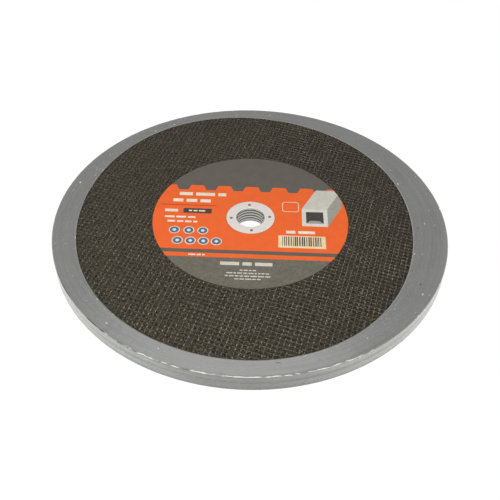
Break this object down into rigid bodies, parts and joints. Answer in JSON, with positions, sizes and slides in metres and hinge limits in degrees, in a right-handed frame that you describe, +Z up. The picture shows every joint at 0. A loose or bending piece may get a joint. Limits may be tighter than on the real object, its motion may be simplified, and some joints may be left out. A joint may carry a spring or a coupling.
{
  "type": "cut-off wheel pack",
  "caption": "Pack of flat round cut-off wheels for metal, each with a paper label and a flanged bush ring in its bore, held face to face by a shrunk grey film sleeve.",
  "frame": {"origin": "on the bore axis, at the underside of the sleeve, where the pack rests", "axes": "+Z up along the bore, out of the labelled faces; +X along the labels' reading line, to its right"},
  "size_m": [0.3555, 0.3554, 0.0158],
  "materials": {
    "abrasive": "resin-bonded grit under a glass-fibre net, dark brown",
    "label_paper": "printed paper, orange and warm grey, satin",
    "bush_metal": "bright zinc-plated sheet",
    "film": "grey shrink film, satin, lightly wrinkled"
  },
  "bodies": {
    "root": {"wheel_1": "abrasive", "wheel_2": "abrasive", "wheel_3": "abrasive", "wheel_4": "abrasive", "wheel_5": "abrasive", "label_1": "label_paper", "label_2": "label_paper", "label_3": "label_paper", "label_4": "label_paper", "label_5": "label_paper", "bush_ring_1": "bush_metal", "bush_ring_2": "bush_metal", "bush_ring_3": "bush_metal", "bush_ring_4": "bush_metal", "bush_ring_5": "bush_metal", "shrink_sleeve": "film"}
  },
  "joints": []
}
